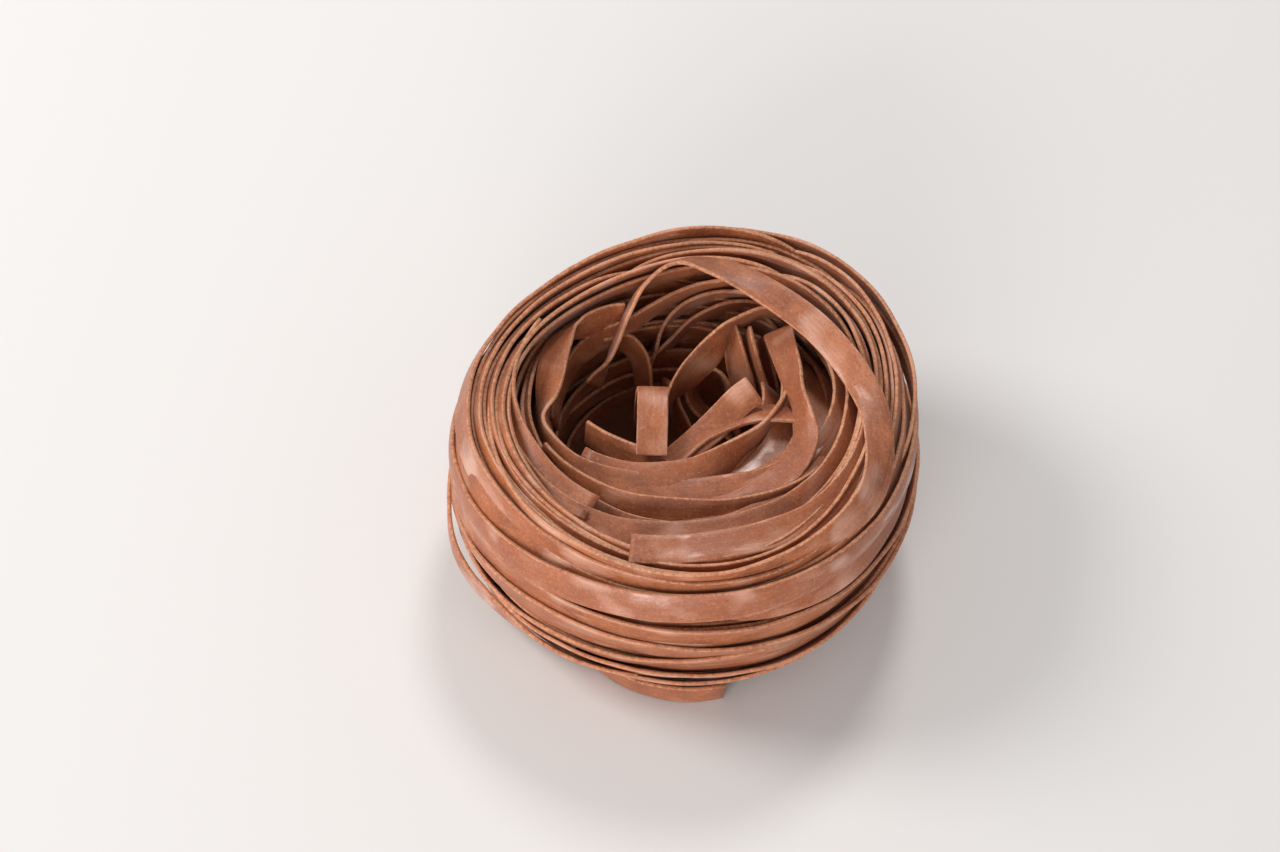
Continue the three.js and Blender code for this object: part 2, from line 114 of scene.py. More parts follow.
# each proud turn's height, how far it lies in from the wall and how far it tilts from it
PROUD_TURNS = [
    ([3.6, 4.6, 3.2, 4.7], 0.5, [0, 0, 0, -6]),
    ([7.8, 9.4, 6.4, 9.5], 0.6, [-12, 0, -2, -16]),
    ([13.8, 13.2, 9.6, 13.6], 1.1, [-12, 4, 6, -20]),
    ([13.6, 17.4, 14.4, 17.5], 0.5, [-18, -6, 0, -18]),
    ([18.2, 21.8, 19.2, 21.2], 0.7, [-20, -4, 4, -20]),
    ([25.2, 26, 22.6, 26.8], 0.2, [-8, 6, 2, -4]),
]
PROUD_CLIMBS = 3
RIM_TURNS = 4
RIM_INSET = 0.4
RIM_LEAN_EACH = 3
FUNNEL_TURNS = 3
FUNNEL_FIRST = 0.05
FUNNEL_SPACING = 0.42
FUNNEL_SWEEP = 300
FUNNEL_SWEEPS = 50
FUNNEL_CLIMBS = 2
PIT_TURNS = 3
PIT_FIRST = 18
PIT_SPACING = 4.4
PIT_INSET = 0.1
PIT_LEAN = -4
PIT_SWEEP = 200
PIT_SWEEPS = 120
PIT_CLIMBS = 6

# the turns behind them: how many, where the first lies, how far apart they are, and how
# far they lie in, lean or drop from the turns that cover them
SUNK_TURNS = 7
SUNK_FIRST = 2.6
SUNK_SPACING = 4.0
SUNK_INSET = 1.2
SUNK_LEAN = 3
SUNK_CLIMBS = 9
DEEP_TURNS = 8
DEEP_FIRST = 3.4
DEEP_SPACING = 3.3
DEEP_INSET = 2.1
DEEP_LEAN = -4
RIM_BACKING_TURNS = 4
RIM_BACKING_INSET = 1.1
RIM_BACKING_DROP = 0.8
RIM_BACKING_SWEEP = 345
FUNNEL_BACKING_TURNS = 6
FUNNEL_BACKING_SPACING = 0.2
FUNNEL_BACKING_DROP = 1.9
FUNNEL_BACKING_LEAN = -12
FUNNEL_BACKING_SWEEP = 320
PIT_BACKING_TURNS = 6
PIT_BACKING_FIRST = 17.5
PIT_BACKING_SPACING = 2.8
PIT_BACKING_OUTSET = 1.1
PIT_BACKING_SWEEP = 340
BASE_FIRST = 6
BASE_SPACING = 4.5
BASE_LOBE = 0.05
# each base turn's height and lean, from the middle out
BASE_TURNS = [(1.3, 85), (1.3, 85), (1.3, 85), (1.7, -78), (2.4, -60)]

# how loosely all the turns are packed, how far a turn's ends tuck out and up and over what
# angle, and the least heights of a strand's middle and of its lower edge
PACKING = 0.3
INWARD_TUCK = (-1.8, 0)
OUTWARD_TUCK = (1.6, 0)
DOWNWARD_TUCK = (0, -4.5)
NO_TUCK = (0, 0)
END_TUCK_ANGLE = 9
LOWEST_MIDDLE = 1.2
LOWEST_EDGE = 0.3

# the packed core, and how far its rings lie behind or below what covers them
CORE_SIDES = 96
CORE_HEIGHTS = (0, 4, 9, 15, 20, 25)
CORE_BASE = 1.0
CORE_DEPTH = 3.9
CORE_RIM_DEPTH = 4.2
CORE_RIM_DROP = 2.8
CORE_FUNNEL_SHARES = (0.25, 0.6, 0.94)
CORE_FUNNEL_DROP = 2.6
CORE_UPRIGHT_DROP = 1.4
CORE_PIT_SHARES = (0, 0.5, 1)
CORE_PIT_DEPTH = 1.9
CORE_LIP_DROP = 5
CORE_FLOOR_DROP = 0.5

# the draws
SEED = 2024
SEED_BEHIND = 77
DRAW_FACTOR = 48271
DRAW_MODULUS = 2147483647

# the colours, as linear parts of red, green and blue
DARK_BROWN = (0.215, 0.051, 0.014)
WARM_BROWN = (0.425, 0.127, 0.04)
MOTTLED_BROWN = (0.48, 0.158, 0.058)
STREAKED_TAN = (0.52, 0.2, 0.09)
DULL_BROWN = (0.31, 0.083, 0.028)
LIGHT_GRAIN = (0.56, 0.27, 0.145)
DARK_GRAIN = (0.14, 0.04, 0.017)
BRAN = (0.13, 0.04, 0.02)
# pale flour dust, partly a painted highlight
FLOUR_AND_HIGHLIGHT = (0.68, 0.385, 0.28)
# pale crumbly cut edges, partly a painted highlight along them
CRUMBLY_EDGE_AND_HIGHLIGHT = (0.64, 0.32, 0.18)
FLOURY_SHEEN = (1, 0.87, 0.81)
# the packed core's browns, far darker than the pasta's, are painted shade
PACKED_SHADE_DARK = (0.09, 0.03, 0.012)
PACKED_SHADE_LIGHT = (0.24, 0.078, 0.032)
OFF_WHITE = (0.73, 0.72, 0.715)
DAYLIGHT = (1, 0.99, 0.98)
DAYLIGHT_STRENGTH = 0.37


# ---- draws and unevenness

def draws(seed):
    """An endless row of even draws between 0 and 1, the same on every run."""
    state = seed
    while True:
        state = state * DRAW_FACTOR % DRAW_MODULUS
        yield state / DRAW_MODULUS


def drawn_climb(draw, span):
    """How much higher, or lower, a turn ends than it starts."""
    return span * (next(draw) - 0.5)


def around(values, angle):
    """A smooth value round the nest through its right, back, left and front values."""
    right, back, left, front = values
    return (
        (right + back + left + front) / 4
        + (right - left) / 2 * math.cos(angle)
        + (back - front) / 2 * math.sin(angle)
        + (right + left - back - front) / 4 * math.cos(2 * angle)
    )


def uneven(values, skew, lobe, angle):
    """The same with the nest's skew to the back right and its three slight corners."""
    corners = lobe * math.cos(3 * angle - math.pi)
    return around(values, angle) + skew * math.sin(2 * angle) + corners


def unevenness(draw, size, counts=SWAY_COUNTS):
    """A small unevenness round the nest: waves of drawn size and place."""
    waves = []
    for count in counts:
        height = size * (2 * next(draw) - 1) / count ** WAVE_FADING
        waves.append((count, height, math.tau * next(draw)))
    return lambda angle: sum(
        height * math.cos(count * angle + shift) for count, height, shift in waves
    )


# ---- the form of the nest

def ridge_radius(angle):
    """How far out the rim's outermost turn stands."""
    return uneven(RIDGE_RADIUS, RIDGE_SKEW, RIDGE_LOBE, angle)


def wall_radius(angle, height):
    """How far out the wall stands at a height: it bulges between the foot and the ridge."""
    bulge = uneven(BULGE_RADIUS, BULGE_SKEW, BULGE_LOBE, angle)
    if height > BULGE_HEIGHT:
        up = (height - BULGE_HEIGHT) / (RIDGE_HEIGHT - BULGE_HEIGHT)
        return bulge - (bulge - ridge_radius(angle)) * up ** WALL_ROUNDING
    down = (BULGE_HEIGHT - max(height, 0)) / BULGE_HEIGHT
    return bulge - (bulge - FOOT_RADIUS) * down ** WALL_ROUNDING


def wall_lean(angle, height):
    """How far the wall leans in at a height."""
    inward = wall_radius(angle, height - 1) - wall_radius(angle, height + 1)
    return math.degrees(math.atan2(inward, 2))


def funnel(angle, share):
    """Radius, height and lean at a share of the way from the funnel's mouth to the lip."""
    def blend(mouth, lip):
        return around(mouth, angle) * (1 - share) + around(lip, angle) * share

    skew = (1 - share) * MOUTH_SKEW * math.sin(2 * angle)
    return (
        blend(MOUTH_RADIUS, LIP_RADIUS) + skew,
        blend(MOUTH_HEIGHT, LIP_HEIGHT),
        blend(MOUTH_LEAN, LIP_LEAN),
    )


def pit_radius(angle, height):
    """How far out the hollow's wall stands at a height: it narrows to the floor."""
    down = (PIT_TOP - height) / (PIT_TOP - PIT_FLOOR)
    return around(PIT_RADIUS, angle) - PIT_TAPER * down * down


# ---- the strands' paths

def polar_station(degrees, radius, height, lean):
    """A place on a strand. The lean turns its width from upright towards the axis."""
    angle = math.radians(degrees)
    tip = math.radians(lean)
    outward = Vector((math.cos(angle), math.sin(angle), 0))
    middle = outward * radius + Vector((0, 0, height))
    width = Vector((0, 0, math.cos(tip))) - outward * math.sin(tip)
    return middle, width


def smooth_row(rows, share):
    """The row of a smooth curve through the given rows, at a share of its length."""
    spans = len(rows) - 1
    index = min(int(share * spans), spans - 1)
    t = share * spans - index

    def at(row, column):
        if row < 0:
            return 2 * rows[0][column] - rows[1][column]
        if row > spans:
            return 2 * rows[spans][column] - rows[spans - 1][column]
        return rows[row][column]

    smooth = []
    for column in range(len(rows[0])):
        a, b, c, d = (at(index + step, column) for step in (-1, 0, 1, 2))
        smooth.append(0.5 * (
            2 * b + (c - a) * t + (2 * a - 5 * b + 4 * c - d) * t ** 2
            + (3 * b - a - 3 * c + d) * t ** 3
        ))
    return smooth


def clear_of_floor(height, lean):
    """The height, or the least one at which a ribbon with this lean clears the floor."""
    reach = RIBBON_WIDTH / 2 * abs(math.cos(math.radians(lean)))
    return max(height, LOWEST_MIDDLE, reach + LOWEST_EDGE)


def wind(draw, route, start, sweep, tuck, height_sway, lean_sway, climb=0, looseness=0):
    """The stations of a strand wound round the nest. The route gives radius, height and
    lean at an angle. Both ends tuck away, outwards and upwards by the two tuck values."""
    heights = unevenness(draw, height_sway)
    leans = unevenness(draw, lean_sway)
    loose = unevenness(draw, looseness) if looseness else lambda angle: 0
    first = round(start / SOLID_PITCH) * SOLID_PITCH
    whole = round(sweep / SOLID_PITCH) * SOLID_PITCH
    steps = round(whole / DEGREES_A_STEP)
    stations = []
    for step in range(steps + 1):
        share = step / steps
        degrees = first + whole * share
        angle = math.radians(degrees)
        radius, height, lean = route(angle)
        near_end = (
            math.exp(-share * sweep / END_TUCK_ANGLE)
            + math.exp((share - 1) * sweep / END_TUCK_ANGLE)
        )
        height += heights(angle) + climb * (share - 0.5) + tuck[1] * near_end
        lean += leans(angle)
        stations.append(polar_station(
            degrees,
            radius + packing(angle) + loose(angle) + tuck[0] * near_end,
            clear_of_floor(height, lean),
            lean,
        ))
    return stations


def in_fine_steps(station_at, rows):
    """Stations at even shares of a laid strand, about one for each step of length."""
    shares = [step / MEASURING_STEPS for step in range(MEASURING_STEPS + 1)]
    middles = [station_at(rows, share)[0] for share in shares]
    length = sum((after - before).length for before, after in zip(middles, middles[1:]))
    steps = math.ceil(length / LENGTH_A_STEP)
    return [station_at(rows, step / steps) for step in range(steps + 1)]


def lay(rows):
    """A strand laid round the axis, through rows of angle, radius, height and lean."""
    return in_fine_steps(lambda given, share: polar_station(*smooth_row(given, share)), rows)


def cross(rows):
    """A strand across the hollow, through rows of x, y, z and its width's compass and rise."""
    turned = []
    for x, y, z, compass, rise in rows:
        level = math.cos(math.radians(rise))
        turned.append((
            x, y, z,
            level * math.cos(math.radians(compass)),
            level * math.sin(math.radians(compass)),
            math.sin(math.radians(rise)),
        ))

    def station_at(given, share):
        row = smooth_row(given, share)
        return Vector(row[:3]), Vector(row[3:])

    return in_fine_steps(station_at, turned)


# ---- the strands' meshes

def flat_blank(steps):
    """A straight strip one unit long with rounded long edges, stepped along its length and
    cut lengthwise in four, so that it can cup."""
    blank = bmesh.new()
    bmesh.ops.create_cube(blank, size=1)
    bmesh.ops.scale(blank, vec=(1, RIBBON_WIDTH, RIBBON_THICKNESS), verts=blank.verts)

    def long_edges():
        return [
            edge for edge in blank.edges
            if abs(edge.verts[0].co.x - edge.verts[1].co.x) > 0.5
        ]

    bmesh.ops.bevel(
        blank, geom=long_edges(), offset=EDGE_ROUNDING, affect="EDGES",
        segments=EDGE_SEGMENTS, profile=0.5, material=-1,
    )
    for share in LENGTHWISE_CUTS:
        everything = blank.verts[:] + blank.edges[:] + blank.faces[:]
        bmesh.ops.bisect_plane(
            blank, geom=everything, plane_co=(0, share * RIBBON_WIDTH, 0), plane_no=(0, 1, 0),
        )
    bmesh.ops.subdivide_edges(blank, edges=long_edges(), cuts=steps - 1, use_grid_fill=True)
    return blank


def frames_along(stations):
    """Each station's middle with its width and face directions, square to the strand, and
    the strand's length up to it."""
    last = len(stations) - 1
    frames = []
    length = 0
    for index, (middle, width) in enumerate(stations):
        if index:
            length += (middle - stations[index - 1][0]).length
        before = stations[max(index - 1, 0)][0]
        after = stations[min(index + 1, last)][0]
        along = (after - before).normalized()
        across = (width - along * width.dot(along)).normalized()
        frames.append((middle, across, along.cross(across), length))
    return frames


def add_ribbon(mesh, stations, tone, draw):
    """Bends a flat blank along the stations and adds it to the mesh, with its length and
    width as a UV map and its tone as an attribute."""
    frames = frames_along(stations)
    steps = len(frames) - 1
    full_length = frames[-1][3]
    cup = RIBBON_CUP * (2 * next(draw) - 1)
    waver = unevenness(draw, RIBBON_WAVER, WAVER_COUNTS)
    twist = unevenness(draw, RIBBON_TWIST, TWIST_COUNTS)

    blank = flat_blank(steps)
    uv = blank.loops.layers.uv.new("ribbon")
    tones = blank.verts.layers.float.new("tone")
    for face in blank.faces:
        for loop in face.loops:
            place = loop.vert.co
            loop[uv].uv = ((place.x + 0.5) * full_length, place.y)
    for vert in blank.verts:
        middle, across, outward, length = frames[round((vert.co.x + 0.5) * steps)]
        turn = twist(length / WAVE_RADIUS)
        across, outward = (
            across * math.cos(turn) + outward * math.sin(turn),
            outward * math.cos(turn) - across * math.sin(turn),
        )
        cupped = cup * (1 - (2 * vert.co.y / RIBBON_WIDTH) ** 2)
        rise = cupped + waver(length / WAVE_RADIUS)
        side = vert.co.y + waver(length / SIDE_WAVE_RADIUS + SIDE_WAVE_START)
        vert.co = (middle + across * side + outward * (vert.co.z + rise)) * MM
        vert[tones] = tone

    stored = bpy.data.meshes.new("ribbon")
    blank.to_mesh(stored)
    blank.free()
    mesh.from_mesh(stored)
    bpy.data.meshes.remove(stored)


def add_piece(name, strands, material, draw):
    """Adds one piece of the nest, made of the given strands."""
    mesh = bmesh.new()
    for stations in strands:
        add_ribbon(mesh, stations, next(draw), draw)
    bmesh.ops.recalc_face_normals(mesh, faces=mesh.faces)
    store_piece(name, mesh, material)


def store_piece(name, mesh, material):
    """Makes a mesh a piece that rides on the nest's body and takes its node's place."""
    stored = bpy.data.meshes.new(name)
    mesh.to_mesh(stored)
    mesh.free()
    stored.materials.append(material)
    for polygon in stored.polygons:
        polygon.use_smooth = True
    piece = bpy.data.objects.new(name, stored)
    bpy.context.collection.objects.link(piece)
    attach(piece, "root")
    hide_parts("nest")


# ---- materials

# how far apart the noises of two strands may lie, in the noises' own units
STRANDS_APART = 37
# how many of the cells that hold the bran specks there are in a metre
SPECK_CELLS = 2100
# where the pale edge starts and ends, in shares of the ribbon's width from its middle
EDGE_SHARES = (0.455, 0.5)


def new_material(name):
    material = bpy.data.materials.new(name)
    material.use_nodes = True
    return material, material.node_tree.nodes, material.node_tree.links


def set_inputs(node, values):
    for name, value in values.items():
        node.inputs[name].default_value = value


def pasta_material(name, light):
    """Dry wholegrain pasta: mottled, finely streaked and specked, with pale rough edges that are
    partly a painted highlight. A light level below 1 darkens its colours and weakens its coat as
    painted shade, for the strands that lie deep."""
    material, nodes, links = new_material(name)
    shader = nodes["Principled BSDF"]
    set_inputs(shader, {
        "IOR": 1.5,
        "Subsurface Weight": 0.3,
        "Subsurface Radius": (1.0, 0.35, 0.15),
        "Subsurface Scale": 0.0008,
        "Sheen Weight": 0.1,
        "Sheen Roughness": 0.5,
        "Sheen Tint": (*FLOURY_SHEEN, 1),
        "Coat Roughness": 0.3,
    })

    def node(kind, **values):
        made = nodes.new(kind)
        for key, value in values.items():
            setattr(made, key, value)
        return made

    def noise(source, scale, detail, roughness=0.55):
        """A noise between 0 and 1, at so many waves a unit of the source."""
        made = node("ShaderNodeTexNoise")
        set_inputs(made, {"Scale": scale, "Detail": detail, "Roughness": roughness})
        links.new(source, made.inputs["Vector"])
        return made.outputs["Fac"]

    def ranged(source, low, high, to_low=0.0, to_high=1.0):
        """The source's span from low to high, stretched to the other two values."""
        made = node("ShaderNodeMapRange")
        set_inputs(made, {"From Min": low, "From Max": high, "To Min": to_low, "To Max": to_high})
        links.new(source, made.inputs["Value"])
        return made.outputs["Result"]

    def maths(operation, one, other):
        """One operation on two values, each a number or another node's output."""
        made = node("ShaderNodeMath", operation=operation)
        for socket, value in zip(made.inputs, (one, other)):
            if isinstance(value, (int, float)):
                socket.default_value = value
            else:
                links.new(value, socket)
        return made.outputs["Value"]

    def mixed(share, one, other):
        """A share of the other colour over the first; a plain colour is scaled by the light
        level, which paints shade below 1.
        """
        made = node("ShaderNodeMix", data_type="RGBA")
        links.new(share, made.inputs["Factor"])
        for side, value in (("A", one), ("B", other)):
            socket = next(s for s in made.inputs if s.name == side and s.type == "RGBA")
            if isinstance(value, tuple):
                socket.default_value = (*(light * part for part in value), 1)
            else:
                links.new(value, socket)
        return next(s for s in made.outputs if s.type == "RGBA")

    place = node("ShaderNodeTexCoord").outputs["Object"]
    split = node("ShaderNodeSeparateXYZ")
    links.new(node("ShaderNodeUVMap", uv_map="ribbon").outputs["UV"], split.inputs["Vector"])
    length_along = split.outputs["X"]
    width_across = split.outputs["Y"]
    tone = node("ShaderNodeAttribute", attribute_name="tone").outputs["Fac"]

    def along_strand(length_scale, width_scale):
        """The place on the strand, scaled both ways and different on every strand."""
        made = node("ShaderNodeCombineXYZ")
        links.new(maths("MULTIPLY", length_along, length_scale), made.inputs["X"])
        links.new(maths("MULTIPLY", width_across, width_scale), made.inputs["Y"])
        links.new(maths("MULTIPLY", tone, STRANDS_APART), made.inputs["Z"])
        return made.outputs["Vector"]

    streaks = noise(along_strand(0.12, 1.3), scale=2.2, detail=4)
    patches = noise(along_strand(0.12, 0.25), scale=1.0, detail=3)
    bloom_and_highlight = ranged(noise(along_strand(0.13, 0.16), scale=1.0, detail=1), 0.55, 0.75)
    mottle = noise(place, scale=260, detail=4, roughness=0.6)
    grain = noise(place, scale=2400, detail=3, roughness=0.7)

    # brown patches, mottled and streaked, duller on some strands, with a light and dark grain
    body = mixed(ranged(patches, 0.34, 0.66), DARK_BROWN, WARM_BROWN)
    body = mixed(ranged(mottle, 0.46, 0.66, 0, 0.55), body, MOTTLED_BROWN)
    body = mixed(ranged(streaks, 0.45, 0.75, 0, 0.35), body, STREAKED_TAN)
    body = mixed(ranged(tone, 0, 1, 0, 0.55), body, DULL_BROWN)
    body = mixed(ranged(grain, 0.56, 0.68, 0, 0.45), body, LIGHT_GRAIN)
    body = mixed(ranged(grain, 0.44, 0.32, 0, 0.6), body, DARK_GRAIN)

    # pale patches, partly flour dust and partly a painted highlight
    flour_and_highlight = maths("MULTIPLY", bloom_and_highlight, ranged(streaks, 0.3, 0.6, 0.35, 0.7))
    body = mixed(flour_and_highlight, body, FLOUR_AND_HIGHLIGHT)

    # bran specks about a fifth of a millimetre wide, in some of the cells
    cells = node("ShaderNodeTexVoronoi")
    set_inputs(cells, {"Scale": SPECK_CELLS})
    links.new(place, cells.inputs["Vector"])
    picked = node("ShaderNodeSeparateColor")
    links.new(cells.outputs["Color"], picked.inputs["Color"])
    near = ranged(cells.outputs["Distance"], 0.16, 0.3, 1, 0)
    specks = maths("MULTIPLY", near, ranged(picked.outputs["Red"], 0.82, 0.84))
    body = mixed(maths("MULTIPLY", specks, 0.45), body, BRAN)

    # the cut edges are paler, crumbly and dusted, and their paleness is partly a painted
    # highlight
    off_middle = maths("ABSOLUTE", width_across, 0)
    wander = ranged(noise(along_strand(1.3, 0), scale=1.0, detail=3), 0.3, 0.7, -0.12, 0.12)
    edge_start, edge = (RIBBON_WIDTH * share for share in EDGE_SHARES)
    at_edge = ranged(maths("ADD", off_middle, wander), edge_start, edge)
    crumbly_and_highlit = maths("MULTIPLY", at_edge, ranged(grain, 0.4, 0.6, 0.3, 0.9))
    body = mixed(crumbly_and_highlit, body, CRUMBLY_EDGE_AND_HIGHLIGHT)
    links.new(body, shader.inputs["Base Color"])

    # worn patches along a strand are smooth enough to shine
    smooth = maths("MAXIMUM", ranged(patches, 0.55, 0.65), bloom_and_highlight)
    glossy = ranged(smooth, 0, 1, 0.56, 0.32)
    rough = maths("ADD", glossy, maths("MULTIPLY", crumbly_and_highlit, 0.3))
    links.new(rough, shader.inputs["Roughness"])
    coat = maths("MULTIPLY", ranged(smooth, 0, 1, 0.18, 1), ranged(crumbly_and_highlit, 0, 0.5, light, 0.2))
    links.new(coat, shader.inputs["Coat Weight"])

    # a low relief of grain, streaks and mottle, with the specks sunk in
    relief = maths("ADD", maths("MULTIPLY", grain, 0.35), maths("MULTIPLY", streaks, 0.6))
    relief = maths("ADD", relief, maths("MULTIPLY", mottle, 0.8))
    relief = maths("SUBTRACT", relief, maths("MULTIPLY", specks, 0.2))
    bump = node("ShaderNodeBump")
    set_inputs(bump, {"Strength": 0.4, "Distance": 0.0002})
    links.new(relief, bump.inputs["Height"])
    links.new(bump.outputs["Normal"], shader.inputs["Normal"])
    return material


def packed_material():
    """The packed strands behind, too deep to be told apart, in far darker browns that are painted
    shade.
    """
    material, nodes, links = new_material("packed pasta in painted shade")
    shader = nodes["Principled BSDF"]
    set_inputs(shader, {"Roughness": 0.8})
    grain = nodes.new("ShaderNodeTexNoise")
    set_inputs(grain, {"Scale": 600, "Detail": 4})
    links.new(nodes.new("ShaderNodeTexCoord").outputs["Object"], grain.inputs["Vector"])
    tint = nodes.new("ShaderNodeValToRGB")
    tint.color_ramp.elements[0].color = (*PACKED_SHADE_DARK, 1)
    tint.color_ramp.elements[1].color = (*PACKED_SHADE_LIGHT, 1)
    links.new(grain.outputs["Fac"], tint.inputs["Fac"])
    links.new(tint.outputs["Color"], shader.inputs["Base Color"])
    return material


pasta = pasta_material("wholegrain pasta", 1)
# the same pasta darkened a little as painted shade, for the strands that lie deep
shaded_pasta = pasta_material("pasta in painted shade", 0.9)
packed = packed_material()


# ---- the turns that are wound by rule

draw = draws(SEED)
# an unevenness that all the turns share, since they are packed against each other
packing = unevenness(draw, PACKING)


def proud_route(heights, inset, tilt):
    def route(angle):
        height = around(heights, angle)
        radius = wall_radius(angle, height) - inset
        return radius, height, wall_lean(angle, height) + around(tilt, angle)

    return route


def rim_route(index):
    return lambda angle: (
        ridge_radius(angle) - RIM_INSET - around(RIM_SPACING, angle) * index,
        around(RIM_HEIGHT, angle) + around(RIM_RISE, angle) * index,
        around(RIM_LEAN, angle) + RIM_LEAN_EACH * index,
    )


def funnel_route(index):
    return lambda angle: funnel(angle, FUNNEL_FIRST + FUNNEL_SPACING * index)


def pit_route(index):
    height = PIT_FIRST - PIT_SPACING * index
    return lambda angle: (pit_radius(angle, height) - PIT_INSET, height, PIT_LEAN)


def proud_turns():
    """The proud turns of the outer wall, bottom edges out."""
    turns = []
    for heights, inset, tilt in PROUD_TURNS:
        start = BACK_START + BACK_STARTS * next(draw)
        turns.append(wind(
            draw, proud_route(heights, inset, tilt), start, LAPPED_SWEEP, INWARD_TUCK,
            climb=drawn_climb(draw, PROUD_CLIMBS),
            height_sway=0.6, lean_sway=8, looseness=0.4,
        ))
    return turns


def rim_turns():
    """The rim's turns, nested on edge."""
    turns = []
    for index in range(RIM_TURNS):
        start = BACK_START + BACK_STARTS * next(draw)
        turns.append(wind(
            draw, rim_route(index), start, LAPPED_SWEEP, DOWNWARD_TUCK,
            height_sway=0.4, lean_sway=4,
        ))
    return turns


def funnel_turns():
    """The turns of the funnel, on edge at the back and laid over at the front."""
    turns = []
    for index in range(FUNNEL_TURNS):
        start = BACK_START + BACK_STARTS * next(draw)
        sweep = FUNNEL_SWEEP + FUNNEL_SWEEPS * next(draw)
        turns.append(wind(
            draw, funnel_route(index), start, sweep, DOWNWARD_TUCK,
            climb=drawn_climb(draw, FUNNEL_CLIMBS), height_sway=0.6, lean_sway=7,
        ))
    return turns


def pit_turns():
    """The looser turns down the hollow's wall."""
    turns = []
    for index in range(PIT_TURNS):
        start = WHOLE_TURN * next(draw)
        sweep = PIT_SWEEP + PIT_SWEEPS * next(draw)
        turns.append(wind(
            draw, pit_route(index), start, sweep, OUTWARD_TUCK,
            climb=drawn_climb(draw, PIT_CLIMBS),
            height_sway=1.2, lean_sway=12, looseness=0.6,
        ))
    return turns


wound = {
    "proud_turns": proud_turns(),
    "rim_turns": rim_turns(),
    "funnel_turns": funnel_turns(),
    "hollow_turns": pit_turns(),
}


# ---- the turns that lie behind them

behind = draws(SEED_BEHIND)


def turns_behind(count, route_of, sweep, tuck, climbs=0, **sways):
    """Turns that start anywhere, with routes worked out from their number."""
    turns = []
    for index in range(count):
        start = WHOLE_TURN * next(behind)
        climb = drawn_climb(behind, climbs)
        turns.append(wind(behind, route_of(index), start, sweep, tuck, climb=climb, **sways))
    return turns


def sunk_route(index):
    height = SUNK_FIRST + SUNK_SPACING * index
    return lambda angle: (
        wall_radius(angle, height) - SUNK_INSET,
        height,
        wall_lean(angle, height) + SUNK_LEAN,
    )


def deep_route(index):
    height = DEEP_FIRST + DEEP_SPACING * index
    return lambda angle: (
        wall_radius(angle, height) - DEEP_INSET,
        height,
        wall_lean(angle, height) + DEEP_LEAN,
    )


def rim_backing_route(index):
    return lambda angle: (
        ridge_radius(angle) - RIM_BACKING_INSET - around(RIM_SPACING, angle) * index,
        around(RIM_HEIGHT, angle) + around(RIM_RISE, angle) * (index + 0.5) - RIM_BACKING_DROP,
        around(RIM_LEAN, angle) + RIM_LEAN_EACH * (index - 1),
    )


def funnel_backing_route(index):
    def route(angle):
        radius, height, lean = funnel(angle, FUNNEL_BACKING_SPACING * index)
        return radius, height - FUNNEL_BACKING_DROP, lean + FUNNEL_BACKING_LEAN

    return route


def pit_backing_route(index):
    height = PIT_BACKING_FIRST - PIT_BACKING_SPACING * index
    return lambda angle: (pit_radius(angle, height) + PIT_BACKING_OUTSET, height, 0)


def base_route(index):
    radius = BASE_FIRST + BASE_SPACING * index
    height, lean = BASE_TURNS[index]
    return lambda angle: (radius * (1 + BASE_LOBE * math.sin(2 * angle)), height, lean)


wound["sunk_turns"] = turns_behind(
    SUNK_TURNS, sunk_route, LAPPED_SWEEP, INWARD_TUCK,
    climbs=SUNK_CLIMBS, height_sway=1.8, lean_sway=12, looseness=0.4,
)
wound["deep_turns"] = turns_behind(
    DEEP_TURNS, deep_route, LAPPED_SWEEP, INWARD_TUCK, height_sway=1.0, lean_sway=5,
)
wound["rim_backing"] = turns_behind(
    RIM_BACKING_TURNS, rim_backing_route, RIM_BACKING_SWEEP, DOWNWARD_TUCK,
    height_sway=0.5, lean_sway=4,
)
wound["funnel_backing"] = turns_behind(
    FUNNEL_BACKING_TURNS, funnel_backing_route, FUNNEL_BACKING_SWEEP, DOWNWARD_TUCK,
    height_sway=0.6, lean_sway=6,
)
wound["hollow_backing"] = turns_behind(
    PIT_BACKING_TURNS, pit_backing_route, PIT_BACKING_SWEEP, OUTWARD_TUCK,
    height_sway=1.0, lean_sway=8, looseness=0.4,
)
wound["base_turns"] = turns_behind(
    len(BASE_TURNS), base_route, LAPPED_SWEEP, NO_TUCK, height_sway=0.2, lean_sway=5,
)

# the turns in the hollow and behind the others are of the pasta darkened as painted shade
PAINTED_SHADE_PIECES = ("hollow_turns", "deep_turns", "rim_backing", "funnel_backing", "hollow_backing")
for name, turns in wound.items():
    add_piece(name, turns, shaded_pasta if name in PAINTED_SHADE_PIECES else pasta, behind)


# ---- the strands that are laid one by one

